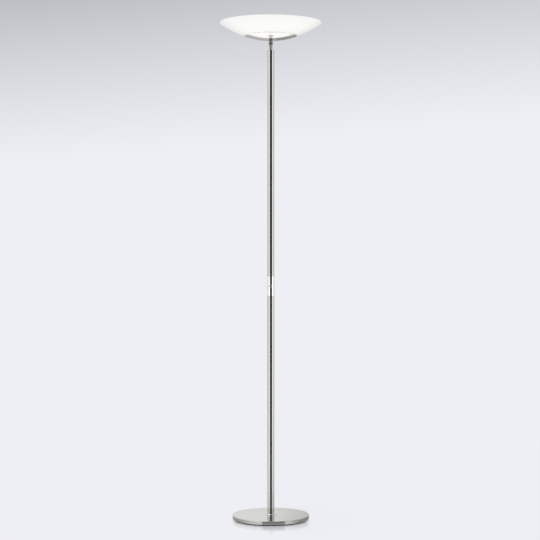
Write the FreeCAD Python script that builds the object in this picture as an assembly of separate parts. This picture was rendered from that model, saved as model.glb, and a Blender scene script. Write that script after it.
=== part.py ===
import FreeCAD, Part
import math
import os
from FreeCAD import Vector

# Uplight floor lamp with an opal glass bowl, in millimetres.
# +Z is up, the front with the dimmer button faces -Y, and the origin is the
# middle of the foot ring, on the floor.

# Overall sizes
lamp_height = 1820.0
bowl_diameter = 372.0
bowl_height = 64.5
dish_diameter = 192.0
pole_diameter = 26.0
neck_length = 17.2
switch_bottom = 820.0
switch_length = 72.0
base_diameter = 280.0
base_height = 17.0

# Clearances that many pieces share
fit_gap = 0.05
loose_gap = 0.3
overrun = 1.0

# Base
cover_sheet = 1.2
cover_edge_radius = 1.0
weight_gap = 0.8
weight_edge_chamfer = 1.5
foot_height = 2.5
foot_width = 9.0
foot_margin = 9.0
foot_groove = 0.7
plate_sheet = 1.5
plate_margin = 5.0
bottom_screw_count = 3
bottom_screw_circle_share = 0.6
bottom_screw_radius = 2.0
bottom_screw_head_radius = 3.6
bottom_screw_head_height = 1.2
bottom_screw_length = 8.0

# Base bolt, its washer and the plug in the pole's foot
bolt_radius = 4.0
bolt_head_radius = 7.0
bolt_head_height = 4.4
bolt_head_edge = 1.2
bolt_socket_radius = 2.8
bolt_socket_depth = 2.4
bolt_grip = 13.0
washer_radius = 8.0
washer_thickness = 1.2
bolt_head_recess = 0.2
plug_length = 28.0
foot_collar_radius = 19.0
foot_collar_height = 3.0
foot_collar_chamfer = 0.8

# Mains lead and its inlet bush
lead_radius = 2.7
lead_bend_radius = 8.5
lead_gap = 0.4
lead_web = 0.75
bush_bore_radius = 3.3
bush_wall = 1.1
bush_flange_radius = 5.8
bush_flange_thickness = 2.0
bush_flange_edge = 0.6
bush_inner_length = 10.0
lead_shift_length = 60.0
lead_shift_below_insert = 40.0
easy_bend_share = 0.45

# Pole
tube_wall = 1.2
tube_edge = 0.3
insert_length = 16.0
nipple_length = 20.0
nipple_wall = 2.5
sleeve_wall = 3.0
cap_thickness = 2.0
cap_spigot_length = 20.0
cap_chamfer = 0.6

# Switch inside the sleeve, distances forward of the pole's axis
button_height_share = 0.5
button_radius = 4.7
button_proud = 1.4
button_dome = 0.5
button_travel = 1.0
button_flange_radius = 5.8
button_flange_thickness = 1.0
stem_radius = 1.8
guide_wall = 1.4
guide_shoulder = 8.0
guide_play = 0.1
carrier_gap = 0.2
carrier_wall = 1.0
bay_half_width = 7.0
lead_bay_half_width = 5.0
lead_bay_depth = 7.6
board_width = 16.0
board_thickness = 1.6
board_end_gap = 1.0
switch_body_width = 6.0
switch_body_depth = 2.8
plunger_radius = 1.7
plunger_pocket = 1.6
plunger_proud = 1.4
plunger_spare = 0.1
spring_wire_radius = 0.2
spring_coil_radius = 3.3
spring_turns = 2
terminal_width = 9.0
terminal_height = 8.0
terminal_depth = 5.6
part_widths = (9.0, 5.0, 6.0)
part_heights = (9.0, 7.0, 8.0)
part_depths = (2.6, 2.0, 2.9)
part_level_shares = (0.03, 0.24, 0.76)

# Driver in the upper tube and the two leads above the board
driver_radius = 11.3
driver_length = 110.0
driver_edge = 1.0
driver_lead_radius = 2.0
light_lead_radius = 2.0
light_lead_bend_radius = 5.0

# Neck
collar_waist_length = 3.2
collar_waist_radius = 6.1
collar_belly_length = 14.6
collar_end_radius = 6.6
collar_belly_radius = 7.8
neck_radius = 6.5
thread_radius = 5.0
thread_bore_radius = 3.5
thread_grip = 17.0
thread_top_proud = 2.0

# Glass bowl, dish and seals
glass_wall = 5.0
glass_hole_radius = 7.0
dish_sheet = 1.2
dish_lip_width = 2.5
seat_thickness = 1.2
seat_radius = 20.0
seal_width = 5.0
seal_margin = 1.0
seal_air = 0.3
glass_washer_radius = 22.0
glass_washer_edge = 1.0

# Clamp, heat sink and light board
clamp_plate_radius = 24.0
clamp_plate_thickness = 2.5
nut_flats = 14.0
nut_height = 4.0
hub_radius = 9.0
hub_height = 8.0
sink_radius = 66.0
sink_thickness = 3.0
fin_count = 24
fin_height = 6.0
fin_thickness = 1.6
fin_start_radius = 14.0
fin_margin = 2.0
light_board_margin = 4.0
light_board_hole_radius = 12.0
chip_size = 3.0
chip_height = 0.8
chip_counts = (10, 18)
chip_ring_radii = (32.0, 52.0)
board_screw_count = 4
board_screw_circle_radius = 42.0
board_screw_radius = 1.5
board_screw_head_radius = 2.8
board_screw_head_height = 2.0
connector_width = 8.0
connector_height = 4.0
connector_distance = 22.0

# Opal cover of the light board
cover_wall = 2.0
cover_side_height = 10.0
cover_rise = 9.0
lug_height = 1.2
lug_depth = 1.5
lug_angle = 40.0
lug_count = 3
notch_play_angle = 4.0


up = Vector(0, 0, 1)
back = Vector(0, 1, 0)
axis_point = Vector(0, 0, 0)
full_turn = 360.0

os.makedirs("parts", exist_ok=True)


def keep(shape, node):
    """Write one piece to its own file."""
    shape.exportStep("parts/" + node + ".step")


def disc(radius, bottom, height):
    """Upright round bar on the pole's axis."""
    return Part.makeCylinder(radius, height, Vector(0, 0, bottom))


def ring(outer, inner, bottom, height):
    """Upright ring on the pole's axis."""
    return disc(outer, bottom, height).cut(disc(inner, bottom, height))


def bar_forward(radius, start, length, height):
    """Round bar pointing to the front, from a distance forward of the axis."""
    return Part.makeCylinder(radius, length, Vector(0, -start, height), Vector(0, -1, 0))


def block(width, near, far, bottom, height):
    """Box centred left to right, between two distances forward of the axis."""
    return Part.makeBox(width, far - near, height, Vector(-width / 2, -far, bottom))


def hexagon(corner_radius, bottom, height):
    """Upright six-sided bar on the pole's axis."""
    corners = []
    for corner in range(7):
        angle = math.radians(full_turn / 6 * corner)
        place = Vector(corner_radius * math.cos(angle), corner_radius * math.sin(angle), bottom)
        corners.append(place)
    return Part.Face(Part.makePolygon(corners)).extrude(up * height)


def turned(edges):
    """Closed profile at Y = 0, turned about the pole's axis."""
    return Part.Face(Part.Wire(edges)).revolve(axis_point, up, full_turn)


def line(start, end):
    """Straight edge of a profile between two (radius, height) points."""
    return Part.makeLine(Vector(start[0], 0, start[1]), Vector(end[0], 0, end[1]))


def arc(start, middle, end):
    """Arc of a profile through three (radius, height) points."""
    ends = [Vector(point[0], 0, point[1]) for point in (start, middle, end)]
    return Part.Arc(*ends).toShape()


def round_edges_at(shape, height, radius):
    """Circular edges of a shape at one height and radius."""
    found = []
    for edge in shape.Edges:
        curve = edge.Curve
        if isinstance(curve, Part.Circle) and abs(curve.Center.z - height) < fit_gap:
            if abs(curve.Radius - radius) < fit_gap:
                found.append(edge)
    return found


def around(shape, count, turn=0.0):
    """Copies of a shape spread evenly about the pole's axis."""
    copies = []
    for index in range(count):
        copy = shape.copy()
        copy.rotate(axis_point, up, turn + index * full_turn / count)
        copies.append(copy)
    return copies


def lead(points, bends, radius):
    """Round lead along straight runs joined by tangent arcs of the given radii."""
    edges = []
    start = points[0]
    for index, bend in enumerate(bends):
        corner = points[index + 1]
        incoming = (corner - points[index]).normalize()
        outgoing = (points[index + 2] - corner).normalize()
        half = math.acos(max(-1.0, min(1.0, incoming.dot(outgoing)))) / 2
        setback = bend * math.tan(half)
        arc_start = corner - incoming * setback
        arc_end = corner + outgoing * setback
        inward = (outgoing - incoming).normalize()
        arc_middle = corner + inward * (bend / math.cos(half) - bend)
        edges.append(Part.makeLine(start, arc_start))
        edges.append(Part.Arc(arc_start, arc_middle, arc_end).toShape())
        start = arc_end
    edges.append(Part.makeLine(start, points[-1]))
    path = Part.Wire(edges)
    heading = (points[1] - points[0]).normalize()
    section = Part.Wire([Part.makeCircle(radius, points[0], heading)])
    return path.makePipeShell([section], True, False)


# Levels and radii of the head and the pole that the pieces share
bowl_bottom = lamp_height - bowl_height
dish_top = bowl_bottom - seat_thickness
dish_bottom = dish_top - dish_sheet
collar_shoulder = dish_bottom - collar_waist_length
collar_bottom = collar_shoulder - collar_belly_length
pole_height = collar_bottom - neck_length
cap_bottom = pole_height - cap_thickness
switch_top = switch_bottom + switch_length
pole_radius = pole_diameter / 2
tube_bore = pole_radius - tube_wall
plug_radius = tube_bore - fit_gap
thread_seat = thread_radius + fit_gap

# Levels and radii of the base that the pieces share
base_radius = base_diameter / 2
skirt_bottom = foot_height + plate_sheet
weight_top = base_height - cover_sheet
cover_inner_radius = base_radius - cover_sheet
weight_radius = cover_inner_radius - weight_gap
plate_radius = base_radius - plate_margin
bolt_seat = skirt_bottom + bolt_head_recess + bolt_head_height + washer_thickness
lead_hole_radius = lead_radius + lead_gap
bush_radius = bush_bore_radius + bush_wall
bush_height = (skirt_bottom + weight_top) / 2
bush_inner_end = cover_inner_radius - bush_inner_length
lead_offset = bolt_radius + fit_gap + lead_web + lead_hole_radius

# Room for the mains lead: along the base, round one bend and up the plug
lead_entry = Vector(0, bush_inner_end, bush_height)
lead_corner = Vector(0, lead_offset, bush_height)
plug_top = Vector(0, lead_offset, base_height + plug_length)
lead_room = lead([lead_entry, lead_corner, plug_top], [lead_bend_radius], lead_hole_radius)

# Base cover: pressed sheet with a short skirt and holes for bolt, lead and inlet
cover = disc(base_radius, skirt_bottom, base_height - skirt_bottom)
cover = cover.makeFillet(cover_edge_radius, round_edges_at(cover, base_height, base_radius))
cover = cover.cut(disc(cover_inner_radius, skirt_bottom, weight_top - skirt_bottom))
cover = cover.cut(disc(bolt_radius + loose_gap, weight_top, cover_sheet))
cover = cover.cut(lead_room)
bush_seat = Part.makeCylinder(
    bush_radius + fit_gap,
    base_radius + overrun - bush_inner_end,
    Vector(0, bush_inner_end, bush_height),
    back,
)
cover = cover.cut(bush_seat)
keep(cover, "base_cover")

# Base weight: cast disc with a bolt recess, a lead channel and the bush's pocket
weight = disc(weight_radius, skirt_bottom, weight_top - skirt_bottom)
weight = weight.makeChamfer(weight_edge_chamfer, round_edges_at(weight, weight_top, weight_radius))
recess = disc(washer_radius + lead_gap, skirt_bottom, bolt_seat - skirt_bottom)
weight = weight.cut(recess)
weight = weight.cut(disc(bolt_radius + loose_gap, bolt_seat, weight_top - bolt_seat))
channel_top = bush_height + lead_hole_radius
channel = Part.makeBox(
    2 * lead_hole_radius,
    weight_radius + overrun - lead_offset,
    channel_top - skirt_bottom,
    Vector(-lead_hole_radius, lead_offset, skirt_bottom),
)
bush_pocket = Part.makeBox(
    2 * (bush_radius + lead_gap),
    weight_radius + overrun - bush_inner_end + lead_gap,
    bush_height + bush_radius + lead_gap - skirt_bottom,
    Vector(-bush_radius - lead_gap, bush_inner_end - lead_gap, skirt_bottom),
)
weight = weight.cut(channel).cut(bush_pocket).cut(lead_room)
bottom_screw_circle = bottom_screw_circle_share * weight_radius
screw_place = Vector(bottom_screw_circle, 0, foot_height)
screw_hole = Part.makeCylinder(bottom_screw_radius + fit_gap, bottom_screw_length, screw_place)
for hole in around(screw_hole, bottom_screw_count, full_turn / bottom_screw_count / 2):
    weight = weight.cut(hole)
keep(weight, "base_weight")

# Bottom plate with its groove for the foot ring and its countersunk screws
plate = disc(plate_radius, foot_height, plate_sheet)
foot_outer = plate_radius - foot_margin
foot_inner = foot_outer - foot_width
plate = plate.cut(ring(foot_outer + fit_gap, foot_inner - fit_gap, foot_height, foot_groove))
screw_head = Part.makeCone(
    bottom_screw_head_radius, bottom_screw_radius, bottom_screw_head_height, screw_place
)
screw_shank = Part.makeCylinder(bottom_screw_radius, bottom_screw_length, screw_place)
screw = screw_head.fuse(screw_shank).removeSplitter()
head_seat = Part.makeCone(
    bottom_screw_head_radius + fit_gap,
    bottom_screw_radius + fit_gap,
    bottom_screw_head_height,
    screw_place,
)
screw_turn = full_turn / bottom_screw_count / 2
for seat in around(head_seat.fuse(screw_hole), bottom_screw_count, screw_turn):
    plate = plate.cut(seat)
keep(plate, "bottom_plate")
keep(Part.makeCompound(around(screw, bottom_screw_count, screw_turn)), "bottom_screws")
keep(ring(foot_outer, foot_inner, 0, foot_height + foot_groove), "foot_ring")

# Inlet bush: flanged sleeve through the rear of the skirt
bush_start = Vector(0, bush_inner_end, bush_height)
bush_length = base_radius - bush_inner_end
bush = Part.makeCylinder(bush_radius, bush_length, bush_start, back)
flange_start = Vector(0, base_radius, bush_height)
flange = Part.makeCylinder(bush_flange_radius, bush_flange_thickness, flange_start, back)
outer_rim = [edge for edge in flange.Edges if edge.BoundBox.YMin > base_radius + fit_gap]
outer_rim = [edge for edge in outer_rim if isinstance(edge.Curve, Part.Circle)]
flange = flange.makeFillet(bush_flange_edge, outer_rim)
bush = bush.fuse(flange)
bush_bore_length = bush_length + bush_flange_thickness
bush = bush.cut(Part.makeCylinder(bush_bore_radius, bush_bore_length, bush_start, back))
keep(bush, "inlet_bush")

# Bolt and washer from below, and the plug in the pole's foot
bolt_bottom = skirt_bottom + bolt_head_recess
bolt = disc(bolt_head_radius, bolt_bottom, bolt_head_height)
bolt = bolt.makeFillet(bolt_head_edge, round_edges_at(bolt, bolt_bottom, bolt_head_radius))
bolt = bolt.fuse(disc(bolt_radius, bolt_bottom, base_height + bolt_grip - bolt_bottom))
bolt = bolt.cut(hexagon(bolt_socket_radius, bolt_bottom, bolt_socket_depth))
keep(bolt, "base_bolt")
washer_bottom = bolt_bottom + bolt_head_height
keep(ring(washer_radius, bolt_radius + fit_gap, washer_bottom, washer_thickness), "base_washer")
plug = disc(plug_radius, base_height, plug_length)
plug = plug.cut(disc(bolt_radius + fit_gap, base_height, bolt_grip + overrun))
plug = plug.cut(lead_room)
keep(plug, "foot_plug")
foot_collar_bore = pole_radius + fit_gap
collar = ring(foot_collar_radius, foot_collar_bore, base_height, foot_collar_height)
foot_collar_top = base_height + foot_collar_height
collar = collar.makeChamfer(
    foot_collar_chamfer, round_edges_at(collar, foot_collar_top, foot_collar_radius)
)
keep(collar, "foot_collar")


def pole_tube(bottom, top):
    """Straight tube of the pole with lightly broken outer edges."""
    tube = disc(pole_radius, bottom, top - bottom)
    ends = round_edges_at(tube, bottom, pole_radius) + round_edges_at(tube, top, pole_radius)
    tube = tube.makeChamfer(tube_edge, ends)
    return tube.cut(disc(tube_bore, bottom, top - bottom))


# Pole: two tubes, their tapped inserts and the threaded nipples
sleeve_bore = pole_radius - sleeve_wall
nipple_radius = sleeve_bore - fit_gap
nipple_bore = nipple_radius - nipple_wall
insert_bore = sleeve_bore
nipple_half = nipple_length / 2
keep(pole_tube(base_height, switch_bottom), "lower_tube")
keep(pole_tube(switch_top, cap_bottom), "upper_tube")
lower_insert_bottom = switch_bottom - insert_length
keep(ring(plug_radius, insert_bore, lower_insert_bottom, insert_length), "lower_insert")
keep(ring(plug_radius, insert_bore, switch_top, insert_length), "upper_insert")
lower_nipple_bottom = switch_bottom - nipple_half
upper_nipple_bottom = switch_top - nipple_half
keep(ring(nipple_radius, nipple_bore, lower_nipple_bottom, nipple_length), "lower_nipple")
keep(ring(nipple_radius, nipple_bore, upper_nipple_bottom, nipple_length), "upper_nipple")

# Switch section: polished sleeve with a cross hole for the button
button_level = switch_bottom + switch_length * button_height_share
sleeve = disc(pole_radius, switch_bottom, switch_length)
sleeve_ends = round_edges_at(sleeve, switch_bottom, pole_radius)
sleeve_ends += round_edges_at(sleeve, switch_top, pole_radius)
sleeve = sleeve.makeChamfer(tube_edge, sleeve_ends)
sleeve = sleeve.cut(disc(sleeve_bore, switch_bottom, switch_length))
sleeve = sleeve.cut(bar_forward(button_radius + loose_gap, 0, pole_radius + overrun, button_level))
keep(sleeve, "dimmer_sleeve")

# Board, switch and terminals: the board's front face lies on the pole's axis
carrier_bottom = lower_nipple_bottom + nipple_length
carrier_top = upper_nipple_bottom
board_bottom = carrier_bottom + board_end_gap
board_length = carrier_top - carrier_bottom - 2 * board_end_gap
board = block(board_width, -board_thickness, 0, board_bottom, board_length)
keep(board, "dimmer_board")
plunger_tip = switch_body_depth + plunger_proud
switch_low = button_level - switch_body_width / 2
push_switch = block(switch_body_width, 0, switch_body_depth, switch_low, switch_body_width)
plunger_back = switch_body_depth - plunger_pocket
push_switch = push_switch.cut(
    bar_forward(
        plunger_radius + loose_gap,
        plunger_back - button_travel - plunger_spare,
        switch_body_depth,
        button_level,
    )
)
keep(push_switch, "push_switch")
plunger = bar_forward(plunger_radius, plunger_back, plunger_tip - plunger_back, button_level)
keep(plunger, "switch_plunger")
terminal_margin = terminal_height / 2
terminal_low = board_bottom + terminal_margin
terminal_high = board_bottom + board_length - terminal_margin - terminal_height
terminal_near = -board_thickness - terminal_depth
terminals = [
    block(terminal_width, terminal_near, -board_thickness, level, terminal_height)
    for level in (terminal_low, terminal_high)
]
keep(Part.makeCompound(terminals), "board_terminals")
parts_on_board = [
    block(width, 0, depth, board_bottom + share * board_length, height)
    for width, height, depth, share in zip(
        part_widths, part_heights, part_depths, part_level_shares
    )
]
keep(Part.makeCompound(parts_on_board), "board_parts")

# Carrier: moulded insert between the nipples, with slot, bays and button pocket
bay_far = plunger_tip - carrier_wall
guide_back = plunger_tip
guide_radius = button_flange_radius + loose_gap + guide_wall
carrier_height = carrier_top - carrier_bottom
carrier = disc(sleeve_bore - carrier_gap, carrier_bottom, carrier_height)
slot_width = board_width + 2 * fit_gap
slot_near = -board_thickness - fit_gap
carrier = carrier.cut(block(slot_width, slot_near, fit_gap, carrier_bottom, carrier_height))
carrier = carrier.cut(block(2 * bay_half_width, 0, bay_far, carrier_bottom, carrier_height))
lead_bay_width = 2 * lead_bay_half_width
carrier = carrier.cut(block(lead_bay_width, -lead_bay_depth, 0, carrier_bottom, carrier_height))
pocket_length = pole_radius - guide_back
carrier = carrier.cut(bar_forward(guide_radius + fit_gap, guide_back, pocket_length, button_level))
carrier = carrier.cut(bar_forward(stem_radius + loose_gap, 0, guide_back, button_level))
keep(carrier, "dimmer_carrier")

# Guide: bush behind the sleeve's wall, bored for the button and its flange
guide = bar_forward(guide_radius, guide_back, pocket_length, button_level)
guide_core = disc(sleeve_bore - fit_gap, carrier_bottom, carrier_height)
guide = guide.common(guide_core)
guide = guide.cut(bar_forward(button_radius + guide_play, guide_back, pocket_length, button_level))
flange_room = bar_forward(
    button_flange_radius + loose_gap, guide_back, guide_shoulder - guide_back, button_level
)
guide = guide.cut(flange_room)
keep(guide, "button_guide")

# Button: domed cap, flange behind the shoulder, and a stem to the plunger
button_face = pole_radius + button_proud
cap_back = guide_shoulder - button_flange_thickness
button_cap = bar_forward(button_radius, cap_back, button_face - cap_back, button_level)
face_rim = [edge for edge in button_cap.Edges if edge.BoundBox.YMax < -pole_radius]
button_cap = button_cap.makeFillet(button_dome, face_rim)
button_flange = bar_forward(
    button_flange_radius, cap_back, button_flange_thickness, button_level
)
stem = bar_forward(stem_radius, plunger_tip, cap_back - plunger_tip, button_level)
button = button_cap.fuse([button_flange, stem]).removeSplitter()
keep(button, "dimmer_button")

# Return spring round the stem, from the carrier's wall to the flange
spring_length = cap_back - guide_back
spring_rise = spring_length - 2 * spring_wire_radius
spring_pitch = spring_rise / spring_turns
coil = Part.makeHelix(spring_pitch, spring_rise, spring_coil_radius)
wire_start = coil.Edges[0].Curve.value(coil.Edges[0].FirstParameter)
wire_heading = coil.Edges[0].tangentAt(coil.Edges[0].FirstParameter)
wire_section = Part.Wire([Part.makeCircle(spring_wire_radius, wire_start, wire_heading)])
spring = Part.Wire(coil.Edges).makePipeShell([wire_section], True, True)
spring.rotate(axis_point, Vector(1, 0, 0), full_turn / 4)
spring.translate(Vector(0, -guide_back - spring_wire_radius, button_level))
print("button spring gap between turns", spring_pitch - 2 * spring_wire_radius)
keep(spring, "button_spring")

# Driver: slim tube standing on the upper insert
driver_bottom = switch_top + insert_length
driver_top = driver_bottom + driver_length
driver = disc(driver_radius, driver_bottom, driver_length)
driver_ends = round_edges_at(driver, driver_top, driver_radius)
driver = driver.makeFillet(driver_edge, driver_ends)
keep(driver, "led_driver")

# Cap on the pole, tapped for the threaded tube
cap = disc(pole_radius, cap_bottom, cap_thickness)
cap = cap.makeChamfer(cap_chamfer, round_edges_at(cap, pole_height, pole_radius))
cap = cap.fuse(disc(plug_radius, cap_bottom - cap_spigot_length, cap_spigot_length))
cap = cap.cut(disc(thread_seat, cap_bottom - cap_spigot_length, pole_height))
keep(cap, "tube_cap")

# Bowl: outer and inner faces are parabolas of revolution joined by a rounded rim
rim_round = glass_wall / 2
rim_radius = bowl_diameter / 2
rim_depth = bowl_height
for step in range(20):
    rim_angle = math.atan(2 * rim_depth / rim_radius)
    rim_depth = bowl_height - rim_round * (1 + math.cos(rim_angle))
    rim_radius = bowl_diameter / 2 - rim_round * (1 - math.sin(rim_angle))
outer_bend = rim_depth / rim_radius ** 2
inner_rim_radius = rim_radius - glass_wall * math.sin(rim_angle)
inner_rim_depth = rim_depth + glass_wall * math.cos(rim_angle)
inner_bend = (inner_rim_depth - glass_wall) / inner_rim_radius ** 2


def curve_height(radius, bottom, bend):
    """Height of a parabola of revolution at one radius."""
    return bottom + bend * radius ** 2


def bowl_curve(start_radius, end_radius, bottom, bend):
    """Profile edge along a parabola between two radii."""
    middle = (start_radius + end_radius) / 2
    crossing = bottom + bend * start_radius * end_radius
    curve = Part.BezierCurve()
    curve.setPoles([
        Vector(start_radius, 0, curve_height(start_radius, bottom, bend)),
        Vector(middle, 0, crossing),
        Vector(end_radius, 0, curve_height(end_radius, bottom, bend)),
    ])
    return curve.toShape()


def curve_point(radius, bottom, bend):
    """Profile point on a parabola at one radius."""
    return (radius, curve_height(radius, bottom, bend))


def bowl_curves(radii, bottom, bend):
    """Profile edges along a parabola, one between each two radii."""
    return [
        bowl_curve(start, end, bottom, bend) for start, end in zip(radii[:-1], radii[1:])
    ]


# Dish's lip and the rings of silicone between it and the glass
lip_top = bowl_bottom - seal_air
lip_thickness = lip_top - dish_bottom
lip_radius = dish_diameter / 2 - lip_thickness / 2
lip_inner_radius = lip_radius - dish_lip_width
seal_outer = lip_inner_radius - seal_margin
seal_inner = seal_outer - seal_width
seat_inner = glass_hole_radius - fit_gap

# Bowl, its faces parted where the silicone touches it
glass_inside = bowl_bottom + glass_wall
rim_outer = curve_point(rim_radius, bowl_bottom, outer_bend)
rim_inner = curve_point(inner_rim_radius, glass_inside, inner_bend)
rim_middle = ((rim_outer[0] + rim_inner[0]) / 2, (rim_outer[1] + rim_inner[1]) / 2)
rim_tip = (
    rim_middle[0] + rim_round * math.cos(rim_angle),
    rim_middle[1] + rim_round * math.sin(rim_angle),
)
hole_outer = curve_point(glass_hole_radius, bowl_bottom, outer_bend)
hole_inner = curve_point(glass_hole_radius, glass_inside, inner_bend)
outer_radii = (glass_hole_radius, seat_radius, seal_inner, seal_outer, rim_radius)
inner_radii = (inner_rim_radius, glass_washer_radius, glass_hole_radius)
bowl = turned(
    bowl_curves(outer_radii, bowl_bottom, outer_bend)
    + [arc(rim_outer, rim_tip, rim_inner)]
    + bowl_curves(inner_radii, glass_inside, inner_bend)
    + [line(hole_inner, hole_outer)]
)
keep(bowl, "glass_bowl")

# Dish: thin spun plate that follows the glass, its lip turned up to the glass
lip_low = curve_point(lip_radius, dish_bottom, outer_bend)
lip_high = curve_point(lip_radius, lip_top, outer_bend)
lip_nose = (dish_diameter / 2, (lip_low[1] + lip_high[1]) / 2)
dish_radii = (lip_inner_radius, seal_outer, seal_inner, seat_radius, thread_seat)
dish_edges = [
    bowl_curve(thread_seat, lip_radius, dish_bottom, outer_bend),
    arc(lip_low, lip_nose, lip_high),
    bowl_curve(lip_radius, lip_inner_radius, lip_top, outer_bend),
    line(
        curve_point(lip_inner_radius, lip_top, outer_bend),
        curve_point(lip_inner_radius, dish_top, outer_bend),
    ),
    line(
        curve_point(thread_seat, dish_top, outer_bend),
        curve_point(thread_seat, dish_bottom, outer_bend),
    ),
]
dish = turned(dish_edges[:-1] + bowl_curves(dish_radii, dish_top, outer_bend) + dish_edges[-1:])
keep(dish, "glass_dish")


def seal_ring(inner, outer):
    """Silicone ring that fills the space between the dish and the glass."""
    return turned([
        bowl_curve(inner, outer, dish_top, outer_bend),
        line(
            curve_point(outer, dish_top, outer_bend),
            curve_point(outer, bowl_bottom, outer_bend),
        ),
        bowl_curve(outer, inner, bowl_bottom, outer_bend),
        line(
            curve_point(inner, bowl_bottom, outer_bend),
            curve_point(inner, dish_top, outer_bend),
        ),
    ])


# Silicone: ring near the dish's rim, seat with a collar through the glass's hole
keep(seal_ring(seal_inner, seal_outer), "dish_seal")
seat_neck = ring(seat_inner, thread_seat, bowl_bottom, glass_wall - fit_gap)
keep(seal_ring(thread_seat, seat_radius).fuse(seat_neck), "glass_seat")

# Upper washer: follows the glass below, flat above
washer_edge_low = curve_point(glass_washer_radius, glass_inside, inner_bend)
clamp_level = washer_edge_low[1] + glass_washer_edge
upper_washer = turned([
    bowl_curve(thread_seat, glass_washer_radius, glass_inside, inner_bend),
    line(washer_edge_low, (glass_washer_radius, clamp_level)),
    line((glass_washer_radius, clamp_level), (thread_seat, clamp_level)),
    line((thread_seat, clamp_level), curve_point(thread_seat, glass_inside, inner_bend)),
])
keep(upper_washer, "glass_washer")
keep(ring(clamp_plate_radius, thread_seat, clamp_level, clamp_plate_thickness), "clamp_plate")


def nut(bottom):
    """Thin hexagon nut on the threaded tube."""
    corner_radius = nut_flats / 2 / math.cos(math.pi / 6)
    body = hexagon(corner_radius, bottom, nut_height)
    return body.cut(disc(thread_seat, bottom, nut_height))


nut_level = clamp_level + clamp_plate_thickness
hub_bottom = nut_level + nut_height
sink_bottom = hub_bottom + hub_height
sink_top = sink_bottom + sink_thickness
keep(nut(nut_level), "clamp_nut")
keep(nut(sink_top), "head_nut")

# Neck: spacer tube, barrel collar with a narrow waist and the threaded tube inside them
collar_middle = (collar_bottom + collar_shoulder) / 2
neck_collar = turned([
    line((thread_seat, collar_bottom), (collar_end_radius, collar_bottom)),
    arc(
        (collar_end_radius, collar_bottom),
        (collar_belly_radius, collar_middle),
        (collar_end_radius, collar_shoulder),
    ),
    line((collar_end_radius, collar_shoulder), (collar_waist_radius, collar_shoulder)),
    line((collar_waist_radius, collar_shoulder), (collar_waist_radius, dish_bottom)),
    line((collar_waist_radius, dish_bottom), (thread_seat, dish_bottom)),
    line((thread_seat, dish_bottom), (thread_seat, collar_bottom)),
])
keep(neck_collar, "neck_collar")
keep(ring(neck_radius, thread_seat, pole_height, neck_length), "neck_tube")
thread_bottom = pole_height - thread_grip
thread_top = sink_top + nut_height + thread_top_proud
keep(
    ring(thread_radius, thread_bore_radius, thread_bottom, thread_top - thread_bottom),
    "threaded_tube",
)


def sector(outer, inner, bottom, height, angle, turn):
    """Part of a ring, centred on one direction."""
    pie = Part.makeCylinder(outer, height, Vector(0, 0, bottom), up, angle)
    pie.rotate(axis_point, up, turn - angle / 2)
    return pie.cut(disc(inner, bottom, height))


# Heat sink: hub, round plate with bayonet notches, radial fins below
sink = disc(sink_radius, sink_bottom, sink_thickness)
sink = sink.fuse(disc(hub_radius, hub_bottom, hub_height))
fin_length = sink_radius - fin_margin - fin_start_radius
fin_place = Vector(fin_start_radius, -fin_thickness / 2, sink_bottom - fin_height)
fin = Part.makeBox(fin_length, fin_thickness, fin_height, fin_place)
sink = sink.fuse(around(fin, fin_count)).removeSplitter()
lug_inner_radius = sink_radius - lug_depth
notch_depth_radius = lug_inner_radius - loose_gap
notch_angle = lug_angle + notch_play_angle
notch_turn = full_turn / lug_count / 2
notch_outer_radius = sink_radius + overrun
notch = sector(
    notch_outer_radius, notch_depth_radius, sink_bottom, sink_thickness, notch_angle, notch_turn
)
for copy in around(notch, lug_count):
    sink = sink.cut(copy)
screw_bore = Part.makeCylinder(
    board_screw_radius + fit_gap,
    lamp_height,
    Vector(board_screw_circle_radius, 0, 0),
)
screw_bores = around(screw_bore, board_screw_count, full_turn / board_screw_count / 2)
sink = sink.cut(disc(thread_seat, hub_bottom, hub_height + sink_thickness))
plate_zone = disc(sink_radius, sink_bottom, sink_thickness)
for bore in screw_bores:
    sink = sink.cut(bore.common(plate_zone))
keep(sink, "heat_sink")

# Light board with its chips, connector and screws
light_board_radius = sink_radius - light_board_margin
light_board = ring(light_board_radius, light_board_hole_radius, sink_top, board_thickness)
for bore in screw_bores:
    light_board = light_board.cut(bore)
keep(light_board, "light_board")
chip_level = sink_top + board_thickness
chips = []
for count, radius in zip(chip_counts, chip_ring_radii):
    chip_place = Vector(radius - chip_size / 2, -chip_size / 2, chip_level)
    chip = Part.makeBox(chip_size, chip_size, chip_height, chip_place)
    chips += around(chip, count, full_turn / count / 2)
keep(Part.makeCompound(chips), "light_chips")
connector_top = chip_level + connector_height
connector = block(
    connector_width,
    -connector_distance - connector_width / 2,
    -connector_distance + connector_width / 2,
    chip_level,
    connector_height,
)
keep(connector, "board_connector")
board_screw = Part.makeCylinder(
    board_screw_radius,
    board_thickness + sink_thickness,
    Vector(board_screw_circle_radius, 0, sink_bottom),
)
board_screw_head = Part.makeCylinder(
    board_screw_head_radius,
    board_screw_head_height,
    Vector(board_screw_circle_radius, 0, chip_level),
)
board_screw = board_screw.fuse(board_screw_head)
board_screws = around(board_screw, board_screw_count, full_turn / board_screw_count / 2)
keep(Part.makeCompound(board_screws), "board_screws")

# Opal cover: shallow dome on the plate's rim, with lugs under it
cover_inner = sink_radius + loose_gap
cover_outer = cover_inner + cover_wall
shoulder_radius = cover_inner - cover_wall
cover_side = sink_top + cover_side_height
cover_crest = cover_side + cover_rise
inner_rise = cover_rise - cover_wall


def dome_arc(radius, side, rise):
    """Arc from the side of a shallow dome to its crest on the axis."""
    sphere = (radius ** 2 + rise ** 2) / (2 * rise)
    middle = radius / 2
    drop = sphere - math.sqrt(sphere ** 2 - middle ** 2)
    return arc((radius, side), (middle, side + rise - drop), (0, side + rise))


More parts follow.
